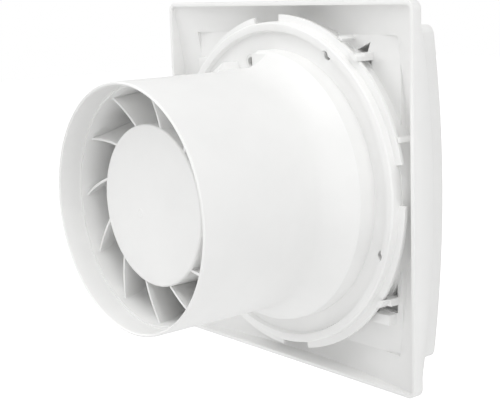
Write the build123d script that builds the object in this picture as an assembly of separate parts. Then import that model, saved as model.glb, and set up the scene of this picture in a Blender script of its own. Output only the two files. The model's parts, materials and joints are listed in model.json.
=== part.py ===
from build123d import *
import os
from math import cos, radians, sin

# Bathroom extractor fan for a round duct, in millimetres.
# +Z is up and +Y runs into the wall and along the duct; the room is on the -Y side.
# Origin: on the fan axis, in the plane of the front frame's rear rim.
# Angles run in the XZ plane from +X towards +Z.

# Front frame
FRAME_W = 182.0
FRAME_H = 185.4
FRAME_Z = -0.7
FRAME_CORNER_R = 4.5
FRAME_BOW_R = 445.0
FRAME_APEX_Y = -22.6
FRAME_SKIN = 2.4
SKIRT_WALL = 2.0
CORNER_SLOPE_Y = -5.4
FLOOR_W = 150.0
FLOOR_H = 153.0
FLOOR_REAR_Y = -9.0
FLOOR_FRONT_Y = -11.5
PLATEAU_MARGIN = 3.0
INLET_R = 67.5
COLLAR_R = (81.0, 82.4)
COLLAR_Y = (-14.0, -1.7)
WINDOW_INNER_R = 83.4
UPPER_WINDOW = ((-56.5, -40.0), (56.0, 67.6))
UPPER_CORNER_GAP = ((-44.3, 67.5), (-54.0, 67.5), (-56.0, 72.4))
UPPER_ARM_Z = (64.0, 67.6)
LOWER_WINDOW = ((-72.0, -56.0), (-56.5, -35.5))
LOWER_ARM_Z = (-52.0, -48.4)
LOWER_SHELF = ((-71.0, -56.0), (-62.0, -57.0))
SHELF_TOP_Y = -4.0
ARM_Y = (-8.0, -3.4)
PRONG_R = (86.0, 87.6)
PRONG_NOSE_R = 84.9
PRONG_NOSE_Y = 0.6
PRONG_TOP_Y = 1.8
STOP_ANGLES = (121.0, 160.5)
STOP_R = (86.1, 87.4)
STOP_WIDTH = 2.6
STOP_TOP_Y = 0.0
SOCKET_AT = 66.5
SOCKET_R = 4.5
SOCKET_FRONT_Y = -22.0
SOCKET_END_Y = -11.0
STUD_R = 2.5
STUD_FIT = 0.05

# Ring, flare and spigot
SPIGOT_R = 59.6
SPIGOT_BORE_R = 58.0
SPIGOT_END_Y = 96.3
LIP_ROUND = 0.7
SHROUD_R = 57.6
LEDGE_Y = 57.0
FLARE_TOP_Y = 33.0
FLARE_FOOT = (67.0, 13.0)
FLARE_INNER_FOOT = (66.7, 10.9)
SHOULDER_R = 68.5
SHOULDER_Y = 11.5
RING_UNDER_Y = 0.2
VALLEY_Y = 2.0
VALLEY_R = 77.0
RIM_R = (77.8, 82.0)
RIM_Y = 4.5
TAB_R = 85.7
TAB_Y = (-1.6, 0.3)
CHANNEL_R = (78.6, 80.4)
CHANNEL_Y = 3.0
TAB_NOTCH_ANGLE = 84.5
TAB_NOTCH_SPAN = 13.0
SCREW_HOLE_R = 2.4
SCREW_HOLE_AT = 76.8
SCREW_ANGLES = (20.0, 120.0, 200.0, 300.0)
SCREW_BOSS_R = 4.6
CABLE_NOTCH = (64.0, 85.6)
CABLE_NOTCH_WALL_DEG = 1.4
CABLE_NOTCH_BACK_R = 60.3
CABLE_STEP_DEG = 95.0
CABLE_STEP_Y = 13.0
CABLE_STEP_CORNER = (67.2, 88.0)
CABLE_HOLE_AT = (64.4, 74.0)
CABLE_HOLE_R = 3.4
GROMMET_BORE_R = 2.3
GROMMET_FLANGE_R = 3.9

# Guide vanes and motor bowl
SLEEVE_R = (56.9, 57.95)
SLEEVE_Y = (57.0, 84.0)
BOWL_R = 38.6
BOWL_WALL = 2.0
BOWL_Y = (54.0, 81.6)
BOWL_ROUND = 1.2
VANE_COUNT = 12
VANE_THICKNESS = 1.2
VANE_REAR_Y = 80.5
VANE_FRONT_Y = 58.0
VANE_HUB_DEG = -15.5
VANE_TIP_DEG = -31.5
VANE_BULGE = 1.0
VANE_TWIST_DEG = 9.0

# Motor
SHAFT_R = 2.5
SHAFT_Y = (21.5, 77.0)
SHAFT_FIT = 0.05
BUSH_R = 5.0
FRONT_HUB_Y = (54.6, 60.2)
REAR_HUB_Y = (71.8, 77.4)
HUB_R = 8.0
ROTOR_R = 13.0
CORE_BORE_R = 13.5
CORE_R = (26.0, 33.0)
CORE_Y = (61.0, 71.0)
POLE_WIDTH = 10.0
BOBBIN_RADIAL = (15.4, 24.2)
BOBBIN_WALL = 1.0
BOBBIN_FLANGE = 17.4
COIL_SIZE = 16.8
BOLT_AT = 29.5
BOLT_R = 1.5
BOLT_HEAD_R = 2.75
BOLT_ANGLES = (45.0, 135.0, 225.0, 315.0)
ARM_WIDTH = 7.0
FRONT_ARM_Y = (57.5, 59.0)
REAR_ARM_Y = (72.7, 74.2)
BOSS_Y = 76.0
BOSS_R = 4.0

# Impeller
BLADE_COUNT = 7
BLADE_TIP_R = 54.9
HUB_OUTER_R = 37.0
HUB_INNER_R = 35.2
HUB_REAR_Y = 52.5
HUB_FRONT_Y = 25.0
BLADE_MID_Y = 40.0
BLADE_THICKNESS = 1.6

# Front panel
PANEL_W = 158.0
PANEL_H = 161.0
PANEL_CORNER_R = 4.0
PANEL_BOW_R = 500.0
PANEL_APEX_Y = -39.7
PANEL_SKIN = 2.6
LIP_WALL = 2.2
LIP_GAP = 7.4
STIFFENER_W = 122.0
STIFFENER_WALL = 1.6
STIFFENER_Y = -28.0
STUD_END_Y = -12.0
STUD_GROOVE_Y = (-17.6, -16.0)
STUD_GROOVE_R = 1.9

# Electrical connection
BLOCK_X = (35.0, 54.0)
BLOCK_Z = (59.6, 69.0)
BLOCK_FRONT_Y = -21.5
POLE_X = (40.5, 48.5)
WIRE_Y = -15.5
COVER_X = (33.0, 61.2)
COVER_Z = (58.0, 73.1)
COVER_FRONT_Y = -24.5
COVER_WALL = 1.3
POST_AT = (56.9, 66.0)
CLAMP_X = 27.0
CLAMP_Z = (62.0, 71.2)
CLAMP_REST_Y = -15.5
SHELF_DEG = (61.0, 71.0)
SHELF_R = 61.5
LEAD_R = 0.75
LEAD_ANGLES = (55.0, 58.0)
LEAD_WALL_R = 56.7
LEAD_CROSS_Y = 55.2

FAR = 70.0


def at(y):
    """Plane across the fan axis at depth y, with X and Z as its directions."""
    return Plane.XZ.offset(-y)


def polar(r, deg):
    """X and Z of a point at a radius and angle about the fan axis."""
    return r * cos(radians(deg)), r * sin(radians(deg))


def slab(outline, y_low, y_high, x=0.0, z=0.0):
    """Solid between two depths with an outline in X and Z."""
    return extrude(at(y_high) * Pos(x, z) * outline, y_high - y_low)


def disc(r, y_low, y_high, x=0.0, z=0.0):
    return slab(Circle(r), y_low, y_high, x, z)


def ring(r_out, r_in, y_low, y_high, x=0.0, z=0.0):
    return slab(Circle(r_out) - Circle(r_in), y_low, y_high, x, z)


def cuboid(xs, ys, zs):
    """Box from its limits along X, Y and Z."""
    outline = Rectangle(xs[1] - xs[0], zs[1] - zs[0])
    return slab(outline, ys[0], ys[1], sum(xs) / 2, sum(zs) / 2)


def turned(deg):
    """Rotation about the fan axis from +X towards +Z."""
    return Rot(0, -deg, 0)


def sector(points, deg_low, deg_high):
    """Part of a solid of revolution, from an outline in radius and depth."""
    outline = make_face(Polyline(*points, close=True))
    return turned(deg_high) * revolve(outline, Axis.Y, deg_high - deg_low)


def bowed_ball(apex_y, radius):
    """Large ball whose front point lies on the frame's centre line."""
    return Pos(0, apex_y + radius, FRAME_Z) * Sphere(radius)


def base_frame():
    rim = RectangleRounded(FRAME_W, FRAME_H, FRAME_CORNER_R)
    plateau_w = FLOOR_W + 2 * PLATEAU_MARGIN
    plateau_h = FLOOR_H + 2 * PLATEAU_MARGIN
    plateau = RectangleRounded(plateau_w, plateau_h, FRAME_CORNER_R)
    body = slab(rim, -FAR, 0, z=FRAME_Z) & bowed_ball(FRAME_APEX_Y, FRAME_BOW_R)
    body += slab(rim, CORNER_SLOPE_Y, 0, z=FRAME_Z)
    body += loft([at(CORNER_SLOPE_Y) * Pos(0, FRAME_Z) * rim, at(FLOOR_FRONT_Y) * Pos(0, FRAME_Z) * plateau])
    inner = RectangleRounded(FRAME_W - 2 * SKIRT_WALL, FRAME_H - 2 * SKIRT_WALL, FRAME_CORNER_R - SKIRT_WALL)
    floor = Rectangle(FLOOR_W, FLOOR_H)
    trough = slab(inner, -FAR, 1, z=FRAME_Z)
    trough &= bowed_ball(FRAME_APEX_Y + FRAME_SKIN, FRAME_BOW_R - FRAME_SKIN)
    trough -= slab(floor, -FAR, 1, z=FRAME_Z)
    body -= trough
    body -= slab(floor, FLOOR_REAR_Y, 1, z=FRAME_Z)
    body += frame_collar()
    recess = RectangleRounded(FLOOR_W - 2 * FRAME_SKIN, FLOOR_H - 2 * FRAME_SKIN, FRAME_CORNER_R)
    body -= slab(recess, -FAR, FLOOR_FRONT_Y, z=FRAME_Z)
    shelf = sector([(SHELF_R, -FAR), (INLET_R + 1, -FAR), (INLET_R + 1, 1), (SHELF_R, 1)], *SHELF_DEG)
    body -= disc(INLET_R, -FAR, 1) - shelf
    for half_turn in range(2):
        body = turned(180) * add_lower_catch(add_upper_catch(body))
    for x in (-SOCKET_AT, SOCKET_AT):
        for dz in (-SOCKET_AT, SOCKET_AT):
            z = FRAME_Z + dz
            body += disc(SOCKET_R, SOCKET_FRONT_Y, FLOOR_REAR_Y - 1, x, z)
            body -= disc(STUD_R + STUD_FIT, SOCKET_FRONT_Y - 1, SOCKET_END_Y, x, z)
    return body + terminal_post() + clamp_pillars() - clamp_threads() - post_thread()


def frame_collar():
    """Round wall that the ring's tabs rest on."""
    return ring(COLLAR_R[1], COLLAR_R[0], *COLLAR_Y)


def window(xs, zs):
    """Opening through the floor, outside the collar."""
    hole = cuboid(xs, (FLOOR_FRONT_Y - 1, FLOOR_REAR_Y + 1), zs)
    return hole - disc(WINDOW_INNER_R, -FAR, 1)


def ring_arm(outer_x, zs):
    """Arm across a window, with a prong that hooks over the ring's tabs."""
    arm = cuboid((outer_x - 1, outer_x + 25), (FLOOR_FRONT_Y, ARM_Y[1]), zs)
    prong = cuboid((outer_x - 1, outer_x + 25), (ARM_Y[1], PRONG_TOP_Y), zs)
    nose = prong & ring(PRONG_R[0] + 0.1, PRONG_NOSE_R, PRONG_NOSE_Y, PRONG_TOP_Y)
    prong &= ring(PRONG_R[1], PRONG_R[0], -FAR, PRONG_TOP_Y)
    return (arm - disc(COLLAR_R[1], -FAR, 1)) + prong + nose


def add_upper_catch(body):
    xs, zs = UPPER_WINDOW
    corner = slab(make_face(Polyline(*UPPER_CORNER_GAP, close=True)), FLOOR_FRONT_Y - 1, FLOOR_REAR_Y + 1)
    body -= window(xs, zs) + (corner - disc(WINDOW_INNER_R, -FAR, 1))
    body += ring_arm(xs[0], UPPER_ARM_Z)
    for angle in STOP_ANGLES:
        stop = cuboid(STOP_R, (SOCKET_END_Y, STOP_TOP_Y), (-STOP_WIDTH / 2, STOP_WIDTH / 2))
        body += (turned(angle) * stop) & bowed_ball(FRAME_APEX_Y + 1, FRAME_BOW_R - 1)
    return body


def add_lower_catch(body):
    xs, zs = LOWER_WINDOW
    body -= window(xs, zs)
    body += ring_arm(xs[0], LOWER_ARM_Z)
    shelf_x, shelf_z = LOWER_SHELF
    shelf = cuboid(shelf_x, (FLOOR_REAR_Y - 0.5, SHELF_TOP_Y), shelf_z)
    return body + (shelf - disc(WINDOW_INNER_R, -FAR, 1))


def terminal_post():
    return disc(2.6, COVER_FRONT_Y + COVER_WALL + 0.1, FLOOR_FRONT_Y + 1, *POST_AT)


def post_thread():
    return disc(1.3, -FAR, FLOOR_FRONT_Y, *POST_AT)


def clamp_pillars():
    pillars = [disc(2.6, CLAMP_REST_Y, FLOOR_FRONT_Y + 1, CLAMP_X, z) for z in CLAMP_Z]
    return pillars[0] + pillars[1]


def clamp_threads():
    threads = [disc(1.3, -FAR, FLOOR_FRONT_Y + 0.8, CLAMP_X, z) for z in CLAMP_Z]
    return threads[0] + threads[1]


def housing_outline():
    """Half section of the fixing ring, shoulder, flare and spigot, in radius and depth."""
    outer_flare = TangentArc((SPIGOT_R, FLARE_TOP_Y), FLARE_FOOT, tangent=(0, -1))
    inner_flare = TangentArc((SHROUD_R, FLARE_TOP_Y), FLARE_INNER_FOOT, tangent=(0, -1))
    outer_tube = Polyline(
        (SPIGOT_BORE_R + LIP_ROUND, SPIGOT_END_Y),
        (SPIGOT_R - LIP_ROUND, SPIGOT_END_Y),
        (SPIGOT_R, SPIGOT_END_Y - LIP_ROUND),
        (SPIGOT_R, FLARE_TOP_Y),
    )
    inner_tube = Polyline(
        (SHROUD_R, FLARE_TOP_Y),
        (SHROUD_R, LEDGE_Y),
        (SPIGOT_BORE_R, LEDGE_Y),
        (SPIGOT_BORE_R, SPIGOT_END_Y - LIP_ROUND),
        (SPIGOT_BORE_R + LIP_ROUND, SPIGOT_END_Y),
    )
    foot = Polyline(
        FLARE_FOOT,
        (SHOULDER_R, SHOULDER_Y),
        (SHOULDER_R, VALLEY_Y),
        (VALLEY_R, VALLEY_Y),
        (RIM_R[0], RIM_Y),
        (RIM_R[1] - LIP_ROUND, RIM_Y),
        (RIM_R[1], RIM_Y - LIP_ROUND),
        (RIM_R[1], TAB_Y[1]),
        (TAB_R, TAB_Y[1]),
        (TAB_R, TAB_Y[0]),
        (CHANNEL_R[1], TAB_Y[0]),
        (CHANNEL_R[1], CHANNEL_Y),
        (CHANNEL_R[0], CHANNEL_Y),
        (CHANNEL_R[0] - 1.2, RING_UNDER_Y),
        (FLARE_INNER_FOOT[0], RING_UNDER_Y),
        FLARE_INNER_FOOT,
    )
    return make_face(Curve() + [outer_flare, inner_flare, outer_tube, inner_tube, foot])


def fan_housing():
    body = revolve(housing_outline(), Axis.Y)
    body = add_cable_notch(body)
    for quarter in range(4):
        start = TAB_NOTCH_ANGLE + 90 * quarter - TAB_NOTCH_SPAN / 2
        low, high = TAB_Y[0] - 1, TAB_Y[1] + 1
        gap = [(RIM_R[1], low), (TAB_R + 1, low), (TAB_R + 1, high), (RIM_R[1], high)]
        body -= sector(gap, start, start + TAB_NOTCH_SPAN)
    for angle in SCREW_ANGLES:
        place = polar(SCREW_HOLE_AT, angle)
        body += disc(SCREW_BOSS_R, TAB_Y[0], VALLEY_Y, *place)
        body -= disc(SCREW_HOLE_R, TAB_Y[0] - 1, RIM_Y + 1, *place)
    low, high = LEAD_ANGLES
    for angle in (low - 2.2, high + 2.2):
        rib = [(LEAD_WALL_R - LEAD_R, FLARE_TOP_Y), (SHROUD_R + 0.4, FLARE_TOP_Y)]
        rib += [(SHROUD_R + 0.4, LEDGE_Y - 3), (LEAD_WALL_R - LEAD_R, LEDGE_Y - 3)]
        body += sector(rib, angle - 0.6, angle + 0.6)
    return body.solids()[0]


def add_cable_notch(body):
    """Pocket cut down through the flare to the valley floor, beside a low step with a cut-back corner."""
    low, high = CABLE_NOTCH
    filler = make_face(
        Curve()
        + [
            TangentArc((SPIGOT_R, FLARE_TOP_Y), FLARE_FOOT, tangent=(0, -1)),
            Polyline(
                FLARE_FOOT,
                (SHOULDER_R, SHOULDER_Y),
                (SHOULDER_R, RING_UNDER_Y),
                (SPIGOT_BORE_R, RING_UNDER_Y),
                (SPIGOT_BORE_R, FLARE_TOP_Y),
                (SPIGOT_R, FLARE_TOP_Y),
            ),
        ]
    )
    wall = CABLE_NOTCH_WALL_DEG
    body += turned(CABLE_STEP_DEG + wall) * revolve(filler, Axis.Y, CABLE_STEP_DEG - low + 2 * wall)
    body -= notch_cut(CABLE_NOTCH_BACK_R, VALLEY_Y, low, high)
    body -= notch_cut(CABLE_NOTCH_BACK_R, CABLE_STEP_Y, high - 0.1, CABLE_STEP_DEG)
    body -= notch_cut(CABLE_STEP_CORNER[0], VALLEY_Y, high - 0.1, CABLE_STEP_CORNER[1])
    hole_at = polar(*CABLE_HOLE_AT)
    return body - disc(CABLE_HOLE_R, RING_UNDER_Y - 1, VALLEY_Y + 1, *hole_at)


def notch_cut(back_r, floor_y, deg_low, deg_high):
    front, top = SHOULDER_R + 0.1, FLARE_TOP_Y + 1
    outline = [(back_r, floor_y), (front, floor_y), (front, top), (back_r, top)]
    return sector(outline, deg_low, deg_high)


def vane_outline(shift):
    """Thin curved strip from the bowl to the sleeve, turned by an angle."""
    root = Vector(*polar(BOWL_R - 1.2, VANE_HUB_DEG + shift))
    tip = Vector(*polar(SLEEVE_R[0] + 0.9, VANE_TIP_DEG + shift))
    along = (tip - root).normalized()
    across = Vector(-along.Y, along.X)
    middle = (root + tip) * 0.5 + across * VANE_BULGE
    side = across * (VANE_THICKNESS / 2)
    near = ThreePointArc(root + side, middle + side, tip + side)
    far = ThreePointArc(tip - side, middle - side, root - side)
    ends = [Line(tip + side, tip - side), Line(root - side, root + side)]
    return make_face(Curve() + [near, far] + ends)


def guide_vane():
    middle_y = (VANE_REAR_Y + VANE_FRONT_Y) / 2
    sections = [
        at(VANE_REAR_Y) * vane_outline(0),
        at(middle_y) * vane_outline(VANE_TWIST_DEG * 0.4),
        at(VANE_FRONT_Y) * vane_outline(VANE_TWIST_DEG),
    ]
    return loft(sections)


def stator_insert():
    bowl = disc(BOWL_R, *BOWL_Y)
    bowl = fillet(bowl.edges().group_by(Axis.Y)[-1], BOWL_ROUND)
    body = ring(SLEEVE_R[1], SLEEVE_R[0], *SLEEVE_Y) + bowl
    vane = guide_vane()
    for index in range(VANE_COUNT):
        body += turned(index * 360 / VANE_COUNT) * vane
    body -= disc(BOWL_R - BOWL_WALL, BOWL_Y[0] - 1, BOWL_Y[1] - BOWL_WALL)
    for angle in BOLT_ANGLES:
        place = polar(BOLT_AT, angle)
        body += disc(BOSS_R, BOSS_Y, BOWL_Y[1] - BOWL_WALL + 0.5, *place)
        body -= disc(BOLT_R + 0.02, BOSS_Y - 1, BOWL_Y[1] - BOWL_WALL - 0.4, *place)
    way_out = cuboid((BOWL_R - 5, BOWL_R + 3), (BOWL_Y[0] - 1, LEAD_CROSS_Y + 1.2), (-4, 4))
    return body - turned(sum(LEAD_ANGLES) / 2) * way_out


def bracket(arm_y, hub_y, pad_y, closed):
    """Four-armed motor end bracket with a bearing hub and pads against the core."""
    body = disc(HUB_R, *hub_y)
    for angle in BOLT_ANGLES:
        arm = cuboid((0, BOLT_AT), arm_y, (-ARM_WIDTH / 2, ARM_WIDTH / 2))
        body += turned(angle) * arm
        body += disc(ARM_WIDTH / 2 + 0.2, *arm_y, *polar(BOLT_AT, angle))
        body += disc(ARM_WIDTH / 2 - 0.3, *pad_y, *polar(BOLT_AT, angle))
        body -= disc(BOLT_R + 0.1, pad_y[0] - 3, pad_y[1] + 3, *polar(BOLT_AT, angle))
    body -= disc(BUSH_R + 0.02, hub_y[0] - 1, hub_y[1] + 1)
    if closed:
        body += disc(HUB_R, hub_y[1], hub_y[1] + 1)
    return body


def motor_front_bracket():
    return bracket(FRONT_ARM_Y, FRONT_HUB_Y, (FRONT_ARM_Y[0], CORE_Y[0]), False)


def motor_rear_bracket():
    return bracket(REAR_ARM_Y, REAR_HUB_Y, (CORE_Y[1], REAR_ARM_Y[1]), True)


def bearing_front():
    return ring(BUSH_R, SHAFT_R + SHAFT_FIT, *FRONT_HUB_Y)


def bearing_rear():
    return ring(BUSH_R, SHAFT_R + SHAFT_FIT, *REAR_HUB_Y)


def stator_core():
    """Laminated ring with four inward poles."""
    body = ring(CORE_R[1], CORE_R[0], *CORE_Y)
    for quarter in range(4):
        pole = cuboid((CORE_BORE_R - 1, CORE_R[0] + 1), CORE_Y, (-POLE_WIDTH / 2, POLE_WIDTH / 2))
        body += turned(90 * quarter) * pole
    body -= disc(CORE_BORE_R, CORE_Y[0] - 1, CORE_Y[1] + 1)
    for angle in BOLT_ANGLES:
        body -= disc(BOLT_R + 0.15, CORE_Y[0] - 1, CORE_Y[1] + 1, *polar(BOLT_AT, angle))
    return body


def around_pole(size, hole, radial):
    """Square sleeve about the pole on +X."""
    mid_y = sum(CORE_Y) / 2
    outer = cuboid(radial, (mid_y - size / 2, mid_y + size / 2), (-size / 2, size / 2))
    return outer - cuboid((0, FAR), (mid_y - hole / 2, mid_y + hole / 2), (-hole / 2, hole / 2))


def four_of(solid):
    return Compound([turned(90 * quarter) * solid for quarter in range(4)])


def coil_bobbins():
    hole = POLE_WIDTH + 0.3
    core = hole + 2 * BOBBIN_WALL
    inner, outer = BOBBIN_RADIAL
    bobbin = around_pole(core, hole, BOBBIN_RADIAL)
    bobbin += around_pole(BOBBIN_FLANGE, hole, (inner, inner + BOBBIN_WALL))
    bobbin += around_pole(BOBBIN_FLANGE, hole, (outer - BOBBIN_WALL, outer))
    return four_of(bobbin)


def coils():
    hole = POLE_WIDTH + 0.4 + 2 * BOBBIN_WALL
    inner, outer = BOBBIN_RADIAL
    coil = around_pole(COIL_SIZE, hole, (inner + BOBBIN_WALL + 0.05, outer - BOBBIN_WALL - 0.05))
    corners = [edge for edge in coil.edges().filter_by(Axis.X) if abs(edge.center().Z) > hole / 2 + 0.5]
    return four_of(fillet(corners, 2.0))


def motor_mounts():
    return Compound([ring(4.0, 1.65, REAR_ARM_Y[1], BOSS_Y, *polar(BOLT_AT, a)) for a in BOLT_ANGLES])


def motor_screws():
    screws = []
    head_y = (FRONT_ARM_Y[0] - 2.0, FRONT_ARM_Y[0])
    for angle in BOLT_ANGLES:
        x, z = polar(BOLT_AT, angle)
        screw = disc(BOLT_R, FRONT_ARM_Y[0] - 1, BOWL_Y[1] - BOWL_WALL - 0.6, x, z)
        screw += disc(BOLT_HEAD_R, *head_y, x, z)
        screws.append(screw - cross_slot(x, z, head_y[0], 1.9, 0.6))
    return Compound(screws)


def cross_slot(x, z, face_y, reach, width):
    """Cross recess sunk into a screw head that faces the room."""
    depth = (face_y - 0.5, face_y + 0.9)
    upright = slab(Rectangle(width, 2 * reach), *depth, x, z)
    return upright + slab(Rectangle(2 * reach, width), *depth, x, z)


def rotor():
    body = ring(ROTOR_R, SHAFT_R, *CORE_Y)
    for end_y in ((CORE_Y[0], CORE_Y[0] + 1.2), (CORE_Y[1] - 1.2, CORE_Y[1])):
        body -= ring(ROTOR_R + 1, ROTOR_R - 0.6, *end_y)
    return body


def motor_shaft():
    shaft = disc(SHAFT_R, *SHAFT_Y)
    ends = shaft.edges().filter_by(GeomType.CIRCLE)
    return chamfer(ends, 0.4)


def thrust_washers():
    spans = ((CORE_Y[0] - 0.5, CORE_Y[0] - 0.05), (CORE_Y[1] + 0.05, CORE_Y[1] + 0.5))
    return Compound([ring(4.2, SHAFT_R + 0.02, *span) for span in spans])


def thermal_fuse():
    """Small capsule lying across the front of the lower coil."""
    y = CORE_Y[0] - 4.9
    capsule = Pos(0, y, -20.0) * Rot(0, 90, 0) * Cylinder(1.3, 9.0)
    return fillet(capsule.edges().filter_by(GeomType.CIRCLE), 0.5)


def blade_section(r, chord, stagger, camber):
    """Cambered blade section across a radius, leaning from the fan axis by the stagger angle."""
    lean = radians(stagger)
    along = Vector(sin(lean), cos(lean))
    across = Vector(cos(lean), -sin(lean))
    middle = Vector(0, BLADE_MID_Y)
    lead = middle - along * (chord / 2)
    trail = middle + along * (chord / 2)
    side = across * (BLADE_THICKNESS / 2)
    crown = middle + across * camber
    tip_side = side * 0.5
    suction = ThreePointArc(lead + tip_side, crown + side, trail + tip_side)
    pressure = ThreePointArc(trail - tip_side, crown - side, lead - tip_side)
    ends = [Line(trail + tip_side, trail - tip_side), Line(lead - tip_side, lead + tip_side)]
    plane = Plane(origin=(r, 0, 0), x_dir=(0, 0, 1), z_dir=(-1, 0, 0))
    return plane * make_face(Curve() + [suction, pressure] + ends)


def impeller_blade():
    sections = [
        blade_section(33.0, 24.0, 40.0, 3.0),
        blade_section(45.0, 27.0, 48.0, 2.6),
        blade_section(57.0, 30.0, 55.0, 2.2),
    ]
    blade = loft(sections)
    return (blade & disc(BLADE_TIP_R, 0, FAR)) - disc(HUB_INNER_R + 0.6, 0, FAR)


def impeller():
    bore = SHAFT_R + 0.01
    hub = Polyline(
        (bore, HUB_FRONT_Y),
        (24.0, HUB_FRONT_Y),
        (31.0, HUB_FRONT_Y + 1.4),
        (35.4, HUB_FRONT_Y + 4.6),
        (HUB_OUTER_R, HUB_FRONT_Y + 9.0),
        (HUB_OUTER_R, HUB_REAR_Y),
        (HUB_INNER_R, HUB_REAR_Y),
        (HUB_INNER_R, HUB_FRONT_Y + 9.6),
        (33.6, HUB_FRONT_Y + 5.8),
        (30.2, HUB_FRONT_Y + 3.3),
        (24.0, HUB_FRONT_Y + 2.0),
        (6.0, HUB_FRONT_Y + 2.0),
        (6.0, HUB_REAR_Y - 0.5),
        (bore, HUB_REAR_Y - 0.5),
        close=True,
    )
    body = revolve(make_face(hub), Axis.Y)
    blade = impeller_blade()
    for index in range(BLADE_COUNT):
        body += turned(index * 360 / BLADE_COUNT) * blade
    for index in range(6):
        rib = cuboid((5.6, HUB_INNER_R + 0.4), (HUB_FRONT_Y + 5.8, HUB_REAR_Y - 8), (-0.6, 0.6))
        rib += cuboid((5.6, 24.0), (HUB_FRONT_Y + 1.5, HUB_FRONT_Y + 6), (-0.6, 0.6))
        body += turned(index * 60) * rib
    return body


def impeller_clip():
    """Toothed push-on ring in front of the hub."""
    clip = ring(5.2, SHAFT_R + 0.02, HUB_FRONT_Y - 1.3, HUB_FRONT_Y - 0.05)
    for index in range(6):
        clip -= turned(index * 60) * cuboid((3.0, 4.2), (0, HUB_FRONT_Y + 1), (-0.35, 0.35))
    return clip


def front_panel():
    outline = RectangleRounded(PANEL_W, PANEL_H, PANEL_CORNER_R)
    ball = bowed_ball(PANEL_APEX_Y, PANEL_BOW_R)
    body = slab(outline, -FAR, FLOOR_REAR_Y, z=FRAME_Z) & ball
    body -= bowed_ball(PANEL_APEX_Y + PANEL_SKIN, PANEL_BOW_R - PANEL_SKIN)
    inset = RectangleRounded(PANEL_W - 2 * LIP_WALL, PANEL_H - 2 * LIP_WALL, PANEL_CORNER_R - LIP_WALL)
    lip = slab(outline - inset, -FAR, FLOOR_REAR_Y, z=FRAME_Z) & ball
    body += lip - bowed_ball(FRAME_APEX_Y - LIP_GAP, FRAME_BOW_R)
    inside = STIFFENER_W - 2 * STIFFENER_WALL
    frame = RectangleRounded(STIFFENER_W, STIFFENER_W, 5) - RectangleRounded(inside, inside, 3.4)
    body += slab(frame, -FAR, STIFFENER_Y, z=FRAME_Z) & ball
    for x in (-SOCKET_AT, SOCKET_AT):
        for dz in (-SOCKET_AT, SOCKET_AT):
            z = FRAME_Z + dz
            body += disc(SOCKET_R, -FAR, SOCKET_FRONT_Y - 2.4, x, z) & ball
            stud = disc(STUD_R, SOCKET_FRONT_Y - 4, STUD_END_Y, x, z)
            body += chamfer(stud.edges().group_by(Axis.Y)[-1], 0.5)
            body -= ring(STUD_R + 1, STUD_GROOVE_R, *STUD_GROOVE_Y, x, z)
    return body


def stud_rings():
    rings = []
    span = (STUD_GROOVE_Y[0] + 0.1, STUD_GROOVE_Y[1] - 0.1)
    for x in (-SOCKET_AT, SOCKET_AT):
        for dz in (-SOCKET_AT, SOCKET_AT):
            rings.append(ring(STUD_R + 0.02, STUD_GROOVE_R + 0.02, *span, x, FRAME_Z + dz))
    return Compound(rings)


def terminal_block():
    body = cuboid(BLOCK_X, (BLOCK_FRONT_Y, FLOOR_FRONT_Y - 0.05), BLOCK_Z)
    mid_z = sum(BLOCK_Z) / 2
    for x in POLE_X:
        body -= disc(2.0, BLOCK_FRONT_Y - 1, WIRE_Y, x, mid_z)
        body -= Pos(x, WIRE_Y, mid_z) * Cylinder(1.5, BLOCK_Z[1] - BLOCK_Z[0] + 2)
    return body


def terminal_screws():
    screws = []
    mid_z = sum(BLOCK_Z) / 2
    for x in POLE_X:
        screw = disc(1.85, BLOCK_FRONT_Y + 1.0, WIRE_Y - 1.6, x, mid_z)
        screw -= slab(Rectangle(3.0, 0.6), BLOCK_FRONT_Y, BLOCK_FRONT_Y + 2.0, x, mid_z)
        screws.append(screw)
    return Compound(screws)


def terminal_cover():
    rear = FLOOR_FRONT_Y - 0.05
    body = cuboid(COVER_X, (COVER_FRONT_Y, rear), COVER_Z)
    body = fillet(body.edges().filter_by(Axis.Y), 1.8)
    hollow_x = (COVER_X[0] + COVER_WALL, COVER_X[1] - COVER_WALL)
    hollow_z = (COVER_Z[0] + COVER_WALL, COVER_Z[1] - COVER_WALL)
    body -= cuboid(hollow_x, (COVER_FRONT_Y + COVER_WALL, rear + 1), hollow_z)
    body -= cuboid((COVER_X[0] - 1, COVER_X[0] + 2), (-18.5, rear + 1), (63.2, 70.6))
    body -= cuboid((POLE_X[0] - 2, POLE_X[1] + 2), (-17.0, rear + 1), (COVER_Z[0] - 1, COVER_Z[0] + 2))
    return body - disc(1.7, COVER_FRONT_Y - 1, COVER_FRONT_Y + 3, *POST_AT)


def pan_screw(x, z, seat_y, length):
    """Small screw driven from the room side."""
    body = disc(1.25, seat_y - 0.5, seat_y + length, x, z)
    body += disc(2.4, seat_y - 1.7, seat_y, x, z)
    return body - cross_slot(x, z, seat_y - 1.7, 1.7, 0.5)


def terminal_cover_screw():
    return pan_screw(*POST_AT, COVER_FRONT_Y, 10.0)


def cord_clamp():
    """Arched bar across the supply cord, on two pillars."""
    low, high = CLAMP_Z
    rest = CLAMP_REST_Y
    body = cuboid((CLAMP_X - 3, CLAMP_X + 3), (rest - 2.6, rest - 0.05), (low - 2.0, high + 2.0))
    body = fillet(body.edges().filter_by(Axis.Y), 1.5)
    for z in CLAMP_Z:
        body -= disc(1.5, -FAR, 0, CLAMP_X, z)
    for x in (CLAMP_X - 2, CLAMP_X, CLAMP_X + 2):
        ridge = cuboid((x - 0.4, x + 0.4), (rest - 1, rest + 0.9), (low + 2.9, high - 2.9))
        body += ridge
    return body


def cord_clamp_screws():
    seat = CLAMP_REST_Y - 2.6
    return Compound([pan_screw(CLAMP_X, z, seat, 6.2) for z in CLAMP_Z])


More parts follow.
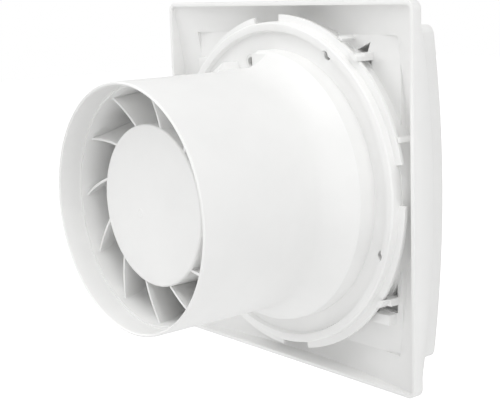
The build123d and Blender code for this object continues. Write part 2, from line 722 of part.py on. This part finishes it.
def cable_grommet():
    """Soft ring gripping the edge of the cable hole."""
    x, z = polar(*CABLE_HOLE_AT)
    body = ring(CABLE_HOLE_R - 0.05, GROMMET_BORE_R, RING_UNDER_Y - 1.0, VALLEY_Y + 1.0, x, z)
    for flange_y in ((VALLEY_Y + 0.05, VALLEY_Y + 1.0), (RING_UNDER_Y - 1.0, RING_UNDER_Y - 0.05)):
        body += ring(GROMMET_FLANGE_R, GROMMET_BORE_R, *flange_y, x, z)
    return body


def motor_lead(start, inner_point, angle, block_x, turn_z):
    """Insulated lead from a coil, along the shroud wall, to its terminal."""
    wall_x, wall_z = polar(LEAD_WALL_R, angle)
    flare_x, flare_z = polar(58.2, angle)
    mouth_x, mouth_z = polar(64.4, angle)
    points = [
        (start[0], CORE_Y[0] - 3.6, start[1]),
        (start[0], LEAD_CROSS_Y, start[1]),
        (inner_point[0], LEAD_CROSS_Y, inner_point[1]),
        (wall_x, LEAD_CROSS_Y, wall_z),
        (wall_x, FLARE_TOP_Y - 2, wall_z),
        (flare_x, 20.0, flare_z),
        (mouth_x, 7.0, mouth_z),
        (mouth_x, WIRE_Y, mouth_z),
        (block_x, WIRE_Y, turn_z),
        (block_x, WIRE_Y, BLOCK_Z[0] + 2.5),
    ]
    route = FilletPolyline(*points, radius=1.0)
    return sweep(Plane(origin=route @ 0, z_dir=route % 0) * Circle(LEAD_R), path=route)


def motor_leads():
    first = motor_lead((19.0, 6.5), (12.5, 17.5), LEAD_ANGLES[0], POLE_X[1], 57.0)
    second = motor_lead((6.5, 19.0), (10.0, 20.0), LEAD_ANGLES[1], POLE_X[0], 58.0)
    return Compound([first, second])


PARTS = {
    "base_frame": base_frame,
    "fan_housing": fan_housing,
    "stator_insert": stator_insert,
    "front_panel": front_panel,
    "stud_rings": stud_rings,
    "impeller": impeller,
    "impeller_clip": impeller_clip,
    "motor_shaft": motor_shaft,
    "rotor": rotor,
    "thrust_washers": thrust_washers,
    "stator_core": stator_core,
    "coil_bobbins": coil_bobbins,
    "coils": coils,
    "motor_front_bracket": motor_front_bracket,
    "motor_rear_bracket": motor_rear_bracket,
    "bearing_front": bearing_front,
    "bearing_rear": bearing_rear,
    "motor_mounts": motor_mounts,
    "motor_screws": motor_screws,
    "thermal_fuse": thermal_fuse,
    "motor_leads": motor_leads,
    "terminal_block": terminal_block,
    "terminal_screws": terminal_screws,
    "terminal_cover": terminal_cover,
    "terminal_cover_screw": terminal_cover_screw,
    "cord_clamp": cord_clamp,
    "cord_clamp_screws": cord_clamp_screws,
    "cable_grommet": cable_grommet,
}

os.makedirs("parts", exist_ok=True)
for name, make in PARTS.items():
    export_step(make(), f"parts/{name}.step")
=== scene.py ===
import json
from math import cos, pi, radians, sin

import bmesh
import bpy
from mathutils import Matrix, Vector


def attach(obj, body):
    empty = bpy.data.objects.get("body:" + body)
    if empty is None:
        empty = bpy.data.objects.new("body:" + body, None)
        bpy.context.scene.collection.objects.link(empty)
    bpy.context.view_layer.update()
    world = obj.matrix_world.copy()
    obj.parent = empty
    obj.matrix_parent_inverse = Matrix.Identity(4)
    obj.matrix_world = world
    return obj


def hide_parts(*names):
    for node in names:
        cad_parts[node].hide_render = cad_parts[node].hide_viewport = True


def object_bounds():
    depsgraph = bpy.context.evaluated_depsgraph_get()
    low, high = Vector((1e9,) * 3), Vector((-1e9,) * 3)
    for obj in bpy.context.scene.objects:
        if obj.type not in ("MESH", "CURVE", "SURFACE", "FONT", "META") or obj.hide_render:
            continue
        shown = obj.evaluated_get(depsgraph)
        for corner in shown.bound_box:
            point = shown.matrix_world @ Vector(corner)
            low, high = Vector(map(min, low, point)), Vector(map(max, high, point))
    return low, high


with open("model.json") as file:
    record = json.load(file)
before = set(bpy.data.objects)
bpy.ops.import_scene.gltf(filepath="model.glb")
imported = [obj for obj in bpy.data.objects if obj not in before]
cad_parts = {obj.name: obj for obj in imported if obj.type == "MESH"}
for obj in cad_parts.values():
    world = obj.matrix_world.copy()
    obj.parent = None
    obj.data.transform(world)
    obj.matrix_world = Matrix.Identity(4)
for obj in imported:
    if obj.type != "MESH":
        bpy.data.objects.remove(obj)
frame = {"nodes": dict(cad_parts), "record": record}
cad_box = [list(corner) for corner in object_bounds()]
scene = bpy.context.scene

# Metres, degrees and watts; the lens alone is in millimetres.
MM = 0.001
MERGE_WITHIN = 2e-6

# Mouldings that get softened edges: CAD node, body it rides on, width of the rounding.
ROUNDED = (
    ("base_frame", "housing", 0.45 * MM),
    ("fan_housing", "housing", 0.35 * MM),
    ("stator_insert", "housing", 0.3 * MM),
    ("front_panel", "panel", 0.7 * MM),
    ("impeller", "impeller", 0.3 * MM),
)
ROUNDED_SEGMENTS = 2
ROUNDED_CREASE = 38.0

GATE_MARK_AT = (0.0094, 0.0816, -0.0045)
GATE_MARK_STEPS = 48
GATE_MARK_CREASE = 50.0

CAMERA_AT = (-0.4427, 0.3873, 0.1010)
CAMERA_HEADING = (0.75772, -0.62652, -0.18258)
CAMERA_ROLL = -1.847
CAMERA_LENS = 83.69

FLOOR_DROP = 0.35
FLOOR_HALF = 6.0
FLOOR_GLOW = 0.6
SKY_LIGHT = 0.55
SKY_SEEN = 1.0

# Round soft lamps aimed at the origin: name, place, diameter, power.
LIGHTS = (
    ("left", (1.10, 1.10, 1.10), 1.4, 11.5),
    ("top", (-0.60, 0.60, 1.80), 1.6, 14.0),
    ("side", (-1.35, 1.50, 0.50), 1.2, 3.5),
    ("edge", (-1.90, 0.30, 0.60), 1.4, 5.5),
)


# ---------------------------------------------------------------- materials

class Shader:
    """A Principled material built from object-space procedural patterns."""

    def __init__(self, name):
        self.material = bpy.data.materials.new(name)
        self.material.use_nodes = True
        self.tree = self.material.node_tree
        self.bsdf = self.tree.nodes["Principled BSDF"]
        coords = self.tree.nodes.new("ShaderNodeTexCoord")
        self.coords = coords.outputs["Object"]

    def set(self, **values):
        for key, value in values.items():
            self.bsdf.inputs[key.replace("_", " ")].default_value = value
        return self

    def stretched(self, scale):
        mapping = self.tree.nodes.new("ShaderNodeMapping")
        mapping.inputs["Scale"].default_value = scale
        self.tree.links.new(self.coords, mapping.inputs["Vector"])
        return mapping.outputs["Vector"]

    def noise(self, scale, detail=3.0, vector=None):
        node = self.tree.nodes.new("ShaderNodeTexNoise")
        node.inputs["Scale"].default_value = scale
        node.inputs["Detail"].default_value = detail
        node.inputs["Roughness"].default_value = 0.55
        self.tree.links.new(vector or self.coords, node.inputs["Vector"])
        return node.outputs["Fac"]

    def bands(self, scale, direction, distortion):
        node = self.tree.nodes.new("ShaderNodeTexWave")
        node.wave_type = "BANDS"
        node.bands_direction = direction
        node.inputs["Scale"].default_value = scale
        node.inputs["Distortion"].default_value = distortion
        self.tree.links.new(self.coords, node.inputs["Vector"])
        return node.outputs["Fac"]

    def ramp(self, factor, low, high, start=0.3, end=0.7):
        node = self.tree.nodes.new("ShaderNodeValToRGB")
        node.color_ramp.elements[0].position = start
        node.color_ramp.elements[0].color = (*low, 1.0)
        node.color_ramp.elements[1].position = end
        node.color_ramp.elements[1].color = (*high, 1.0)
        self.tree.links.new(factor, node.inputs["Fac"])
        return node.outputs["Color"]

    def colour(self, output):
        self.tree.links.new(output, self.bsdf.inputs["Base Color"])

    def roughness(self, factor, low, high):
        node = self.tree.nodes.new("ShaderNodeMapRange")
        node.inputs["To Min"].default_value = low
        node.inputs["To Max"].default_value = high
        self.tree.links.new(factor, node.inputs["Value"])
        self.tree.links.new(node.outputs["Result"], self.bsdf.inputs["Roughness"])

    def bump(self, height, strength, distance):
        node = self.tree.nodes.new("ShaderNodeBump")
        node.inputs["Strength"].default_value = strength
        node.inputs["Distance"].default_value = distance
        self.tree.links.new(height, node.inputs["Height"])
        self.tree.links.new(node.outputs["Normal"], self.bsdf.inputs["Normal"])


def moulded(name, low, high, rough=(0.34, 0.46)):
    """Moulded thermoplastic: faint flow mottling, an even satin gloss and a spark-eroded grain."""
    s = Shader(name).set(IOR=1.5, Specular_IOR_Level=0.45)
    s.colour(s.ramp(s.noise(28.0, detail=4.0), low, high))
    s.roughness(s.noise(160.0), *rough)
    s.bump(s.noise(2600.0, detail=2.0), strength=0.08, distance=0.00004)
    return s.material


def metal(name, low, high, rough=(0.25, 0.42), brush=(40.0, 900.0, 40.0)):
    """Bare metal with fine brushed or turned marks."""
    s = Shader(name).set(Metallic=1.0)
    marks = s.noise(2.0, detail=5.0, vector=s.stretched(brush))
    s.colour(s.ramp(marks, low, high))
    s.roughness(s.noise(300.0), *rough)
    s.bump(marks, strength=0.15, distance=0.00003)
    return s.material


def soft(name, low, high):
    """Rubber or silicone: matt, with a dusty bloom."""
    s = Shader(name).set(Specular_IOR_Level=0.3)
    s.colour(s.ramp(s.noise(90.0, detail=5.0), low, high))
    s.roughness(s.noise(400.0), 0.55, 0.75)
    s.bump(s.noise(1800.0), strength=0.2, distance=0.00005)
    return s.material


def laminated(name):
    """Stack of thin dark steel sheets, seen as fine lines across the fan axis."""
    s = Shader(name).set(Metallic=1.0)
    sheets = s.bands(320.0, "Y", distortion=0.4)
    s.colour(s.ramp(sheets, (0.10, 0.10, 0.11), (0.34, 0.34, 0.35), start=0.2, end=0.6))
    s.roughness(s.noise(200.0), 0.4, 0.6)
    s.bump(sheets, strength=0.5, distance=0.0001)
    return s.material


def wound(name):
    """Enamelled copper laid in close turns."""
    s = Shader(name).set(Metallic=0.9)
    turns = s.bands(260.0, "DIAGONAL", distortion=0.2)
    s.colour(s.ramp(turns, (0.20, 0.06, 0.02), (0.72, 0.31, 0.12), start=0.2, end=0.7))
    s.roughness(s.noise(200.0), 0.22, 0.36)
    s.bump(turns, strength=0.7, distance=0.00012)
    return s.material


def sintered(name):
    """Porous bronze of an oil-soaked bush."""
    s = Shader(name).set(Metallic=0.8)
    s.colour(s.ramp(s.noise(900.0, detail=6.0), (0.30, 0.19, 0.08), (0.66, 0.47, 0.22)))
    s.roughness(s.noise(700.0), 0.4, 0.6)
    s.bump(s.noise(1500.0), strength=0.4, distance=0.00005)
    return s.material


# Material slot: the function that makes it, then its colours, roughness and brushing.
FINISHES = {
    "white_abs": (moulded, (0.835, 0.835, 0.828), (0.87, 0.87, 0.862)),
    "impeller_abs": (moulded, (0.82, 0.82, 0.81), (0.87, 0.87, 0.86), (0.38, 0.5)),
    "silicone": (soft, (0.66, 0.66, 0.63), (0.76, 0.76, 0.73)),
    "spring_steel": (metal, (0.40, 0.40, 0.42), (0.62, 0.62, 0.64)),
    "steel": (metal, (0.50, 0.50, 0.52), (0.72, 0.72, 0.74), (0.16, 0.28)),
    "rotor_steel": (metal, (0.36, 0.36, 0.37), (0.56, 0.56, 0.57), (0.3, 0.5)),
    "nylon": (moulded, (0.78, 0.77, 0.72), (0.84, 0.83, 0.79), (0.45, 0.6)),
    "lamination": (laminated,),
    "bobbin_nylon": (moulded, (0.82, 0.79, 0.68), (0.88, 0.86, 0.77), (0.5, 0.65)),
    "enamelled_copper": (wound,),
    "bracket_zinc": (metal, (0.46, 0.47, 0.48), (0.66, 0.67, 0.68), (0.4, 0.6), (300.0, 300.0, 300.0)),
    "bush_bronze": (sintered,),
    "black_rubber": (soft, (0.018, 0.018, 0.018), (0.045, 0.045, 0.045)),
    "screw_zinc": (metal, (0.52, 0.53, 0.55), (0.74, 0.75, 0.77), (0.2, 0.38)),
    "fuse_body": (moulded, (0.74, 0.70, 0.62), (0.82, 0.79, 0.72), (0.25, 0.4)),
    "lead_pvc": (moulded, (0.80, 0.80, 0.78), (0.86, 0.86, 0.84), (0.4, 0.55)),
    "terminal_pa": (moulded, (0.76, 0.76, 0.73), (0.83, 0.83, 0.80), (0.45, 0.6)),
    "terminal_brass": (metal, (0.48, 0.34, 0.12), (0.76, 0.58, 0.26)),
    "grommet_rubber": (soft, (0.70, 0.70, 0.69), (0.79, 0.79, 0.78)),
}
MATERIALS = {slot: make(slot, *values) for slot, (make, *values) in FINISHES.items()}
SLOT_OF = {part["node"]: part["material_slot"] for part in frame["record"]["subparts"]}


def dress(piece, slot):
    """Give a piece the one material of its record slot."""
    piece.data.materials.clear()
    piece.data.materials.append(MATERIALS[slot])


# ---------------------------------------------------------------- pieces

def smooth_by_angle(mesh, degrees):
    """Smooth shading with creases kept where faces meet at a steeper angle."""
    work = bmesh.new()
    work.from_mesh(mesh)
    limit = radians(degrees)
    for face in work.faces:
        face.smooth = True
    for edge in work.edges:
        edge.smooth = len(edge.link_faces) == 2 and edge.calc_face_angle(pi) < limit
    work.to_mesh(mesh)
    work.free()


def rounded_copy(node, body, width):
    """Finer stand-in for a moulding: its CAD surface with every sharp edge rounded over."""
    mesh = frame["nodes"][node].data.copy()
    work = bmesh.new()
    work.from_mesh(mesh)
    bmesh.ops.remove_doubles(work, verts=work.verts, dist=MERGE_WITHIN)
    bmesh.ops.dissolve_degenerate(work, edges=work.edges, dist=MERGE_WITHIN)
    work.to_mesh(mesh)
    work.free()
    piece = bpy.data.objects.new("moulded_" + node, mesh)
    scene.collection.objects.link(piece)
    rounding = piece.modifiers.new("rounding", "BEVEL")
    rounding.width = width
    rounding.segments = ROUNDED_SEGMENTS
    rounding.limit_method = "ANGLE"
    rounding.angle_limit = radians(ROUNDED_CREASE)
    rounding.use_clamp_overlap = True
    rounding.harden_normals = False
    depsgraph = bpy.context.evaluated_depsgraph_get()
    finished = bpy.data.meshes.new_from_object(piece.evaluated_get(depsgraph))
    piece.modifiers.clear()
    piece.data = finished
    smooth_by_angle(finished, ROUNDED_CREASE)
    dress(piece, SLOT_OF[node])
    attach(piece, body)
    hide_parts(node)


def gate_mark(centre, body, host):
    """Faint round sprue mark on the motor bowl's face, a shallow ring with a low pip."""
    profile = [(0.0, 0.10), (0.5, 0.10), (0.8, 0.02), (1.5, 0.02), (1.8, 0.12), (2.2, 0.12), (2.5, -0.05)]
    work = bmesh.new()
    rows = []
    for radius, height in profile:
        row = []
        for index in range(GATE_MARK_STEPS):
            turn = 2 * pi * index / GATE_MARK_STEPS
            offset = Vector((radius * cos(turn), height, radius * sin(turn))) * MM
            row.append(work.verts.new(Vector(centre) + offset))
        rows.append(row)
    for inner, outer in zip(rows, rows[1:]):
        for index in range(GATE_MARK_STEPS):
            after = (index + 1) % GATE_MARK_STEPS
            work.faces.new((inner[index], outer[index], outer[after], inner[after]))
    bmesh.ops.remove_doubles(work, verts=work.verts, dist=MERGE_WITHIN)
    bmesh.ops.recalc_face_normals(work, faces=work.faces)
    mesh = bpy.data.meshes.new("gate_mark")
    work.to_mesh(mesh)
    work.free()
    mark = bpy.data.objects.new("gate_mark", mesh)
    scene.collection.objects.link(mark)
    smooth_by_angle(mesh, GATE_MARK_CREASE)
    dress(mark, SLOT_OF[host])
    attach(mark, body)


# ---------------------------------------------------------------- studio

def camera_at(place, heading, roll_degrees, lens):
    """Camera that looks along a heading, turned about that line by the roll."""
    data = bpy.data.cameras.new("camera")
    data.lens = lens
    data.sensor_width = 36.0
    data.clip_start = 0.01
    camera = bpy.data.objects.new("camera", data)
    forward = Vector(heading).normalized()
    turn = forward.to_track_quat("-Z", "Y").to_matrix()
    roll = Matrix.Rotation(radians(roll_degrees), 3, "Z")
    camera.matrix_world = Matrix.Translation(Vector(place)) @ (turn @ roll).to_4x4()
    scene.collection.objects.link(camera)
    scene.camera = camera


def area_light(name, place, diameter, power):
    data = bpy.data.lights.new(name, "AREA")
    data.shape = "DISK"
    data.size = diameter
    data.energy = power
    light = bpy.data.objects.new(name, data)
    aim = (-Vector(place)).to_track_quat("-Z", "Y")
    light.matrix_world = Matrix.Translation(Vector(place)) @ aim.to_matrix().to_4x4()
    scene.collection.objects.link(light)


def by_ray(tree, socket, seen, otherwise):
    """Give a socket one level for rays from the camera and another for all the rest."""
    path = tree.nodes.new("ShaderNodeLightPath")
    level = tree.nodes.new("ShaderNodeMapRange")
    level.inputs["To Min"].default_value = otherwise
    level.inputs["To Max"].default_value = seen
    tree.links.new(path.outputs["Is Camera Ray"], level.inputs["Value"])
    tree.links.new(level.outputs["Result"], socket)


def studio_floor(height, half):
    """Wide pale floor well below the object, with a glow that only the camera sees."""
    mesh = bpy.data.meshes.new("floor")
    corners = [(-half, -half, height), (half, -half, height), (half, half, height), (-half, half, height)]
    mesh.from_pydata(corners, [], [(0, 1, 2, 3)])
    floor = bpy.data.objects.new("floor", mesh)
    scene.collection.objects.link(floor)
    s = Shader("pale_floor").set(Specular_IOR_Level=0.1, Emission_Color=(1.0, 1.0, 1.0, 1.0))
    s.colour(s.ramp(s.noise(1.5), (0.96, 0.96, 0.96), (0.98, 0.98, 0.98)))
    s.roughness(s.noise(3.0), 0.85, 0.95)
    by_ray(s.tree, s.bsdf.inputs["Emission Strength"], seen=FLOOR_GLOW, otherwise=0.0)
    floor.data.materials.append(s.material)


def soft_sky(light, seen):
    """Even white surround, brighter where the camera sees it as the backdrop."""
    world = bpy.data.worlds.new("studio")
    world.use_nodes = True
    background = world.node_tree.nodes["Background"]
    background.inputs["Color"].default_value = (1.0, 1.0, 1.0, 1.0)
    by_ray(world.node_tree, background.inputs["Strength"], seen=seen, otherwise=light)
    scene.world = world


# ---------------------------------------------------------------- making

for node, thing in frame["nodes"].items():
    for material_slot in thing.material_slots:
        material_slot.material = MATERIALS[SLOT_OF[node]]

for node, body, width in ROUNDED:
    rounded_copy(node, body, width)
gate_mark(GATE_MARK_AT, "housing", "stator_insert")

camera_at(CAMERA_AT, CAMERA_HEADING, CAMERA_ROLL, CAMERA_LENS)
studio_floor(cad_box[0][2] - FLOOR_DROP, FLOOR_HALF)
soft_sky(SKY_LIGHT, SKY_SEEN)
for name, place, diameter, power in LIGHTS:
    area_light(name, place, diameter, power)
scene.view_settings.view_transform = "Standard"
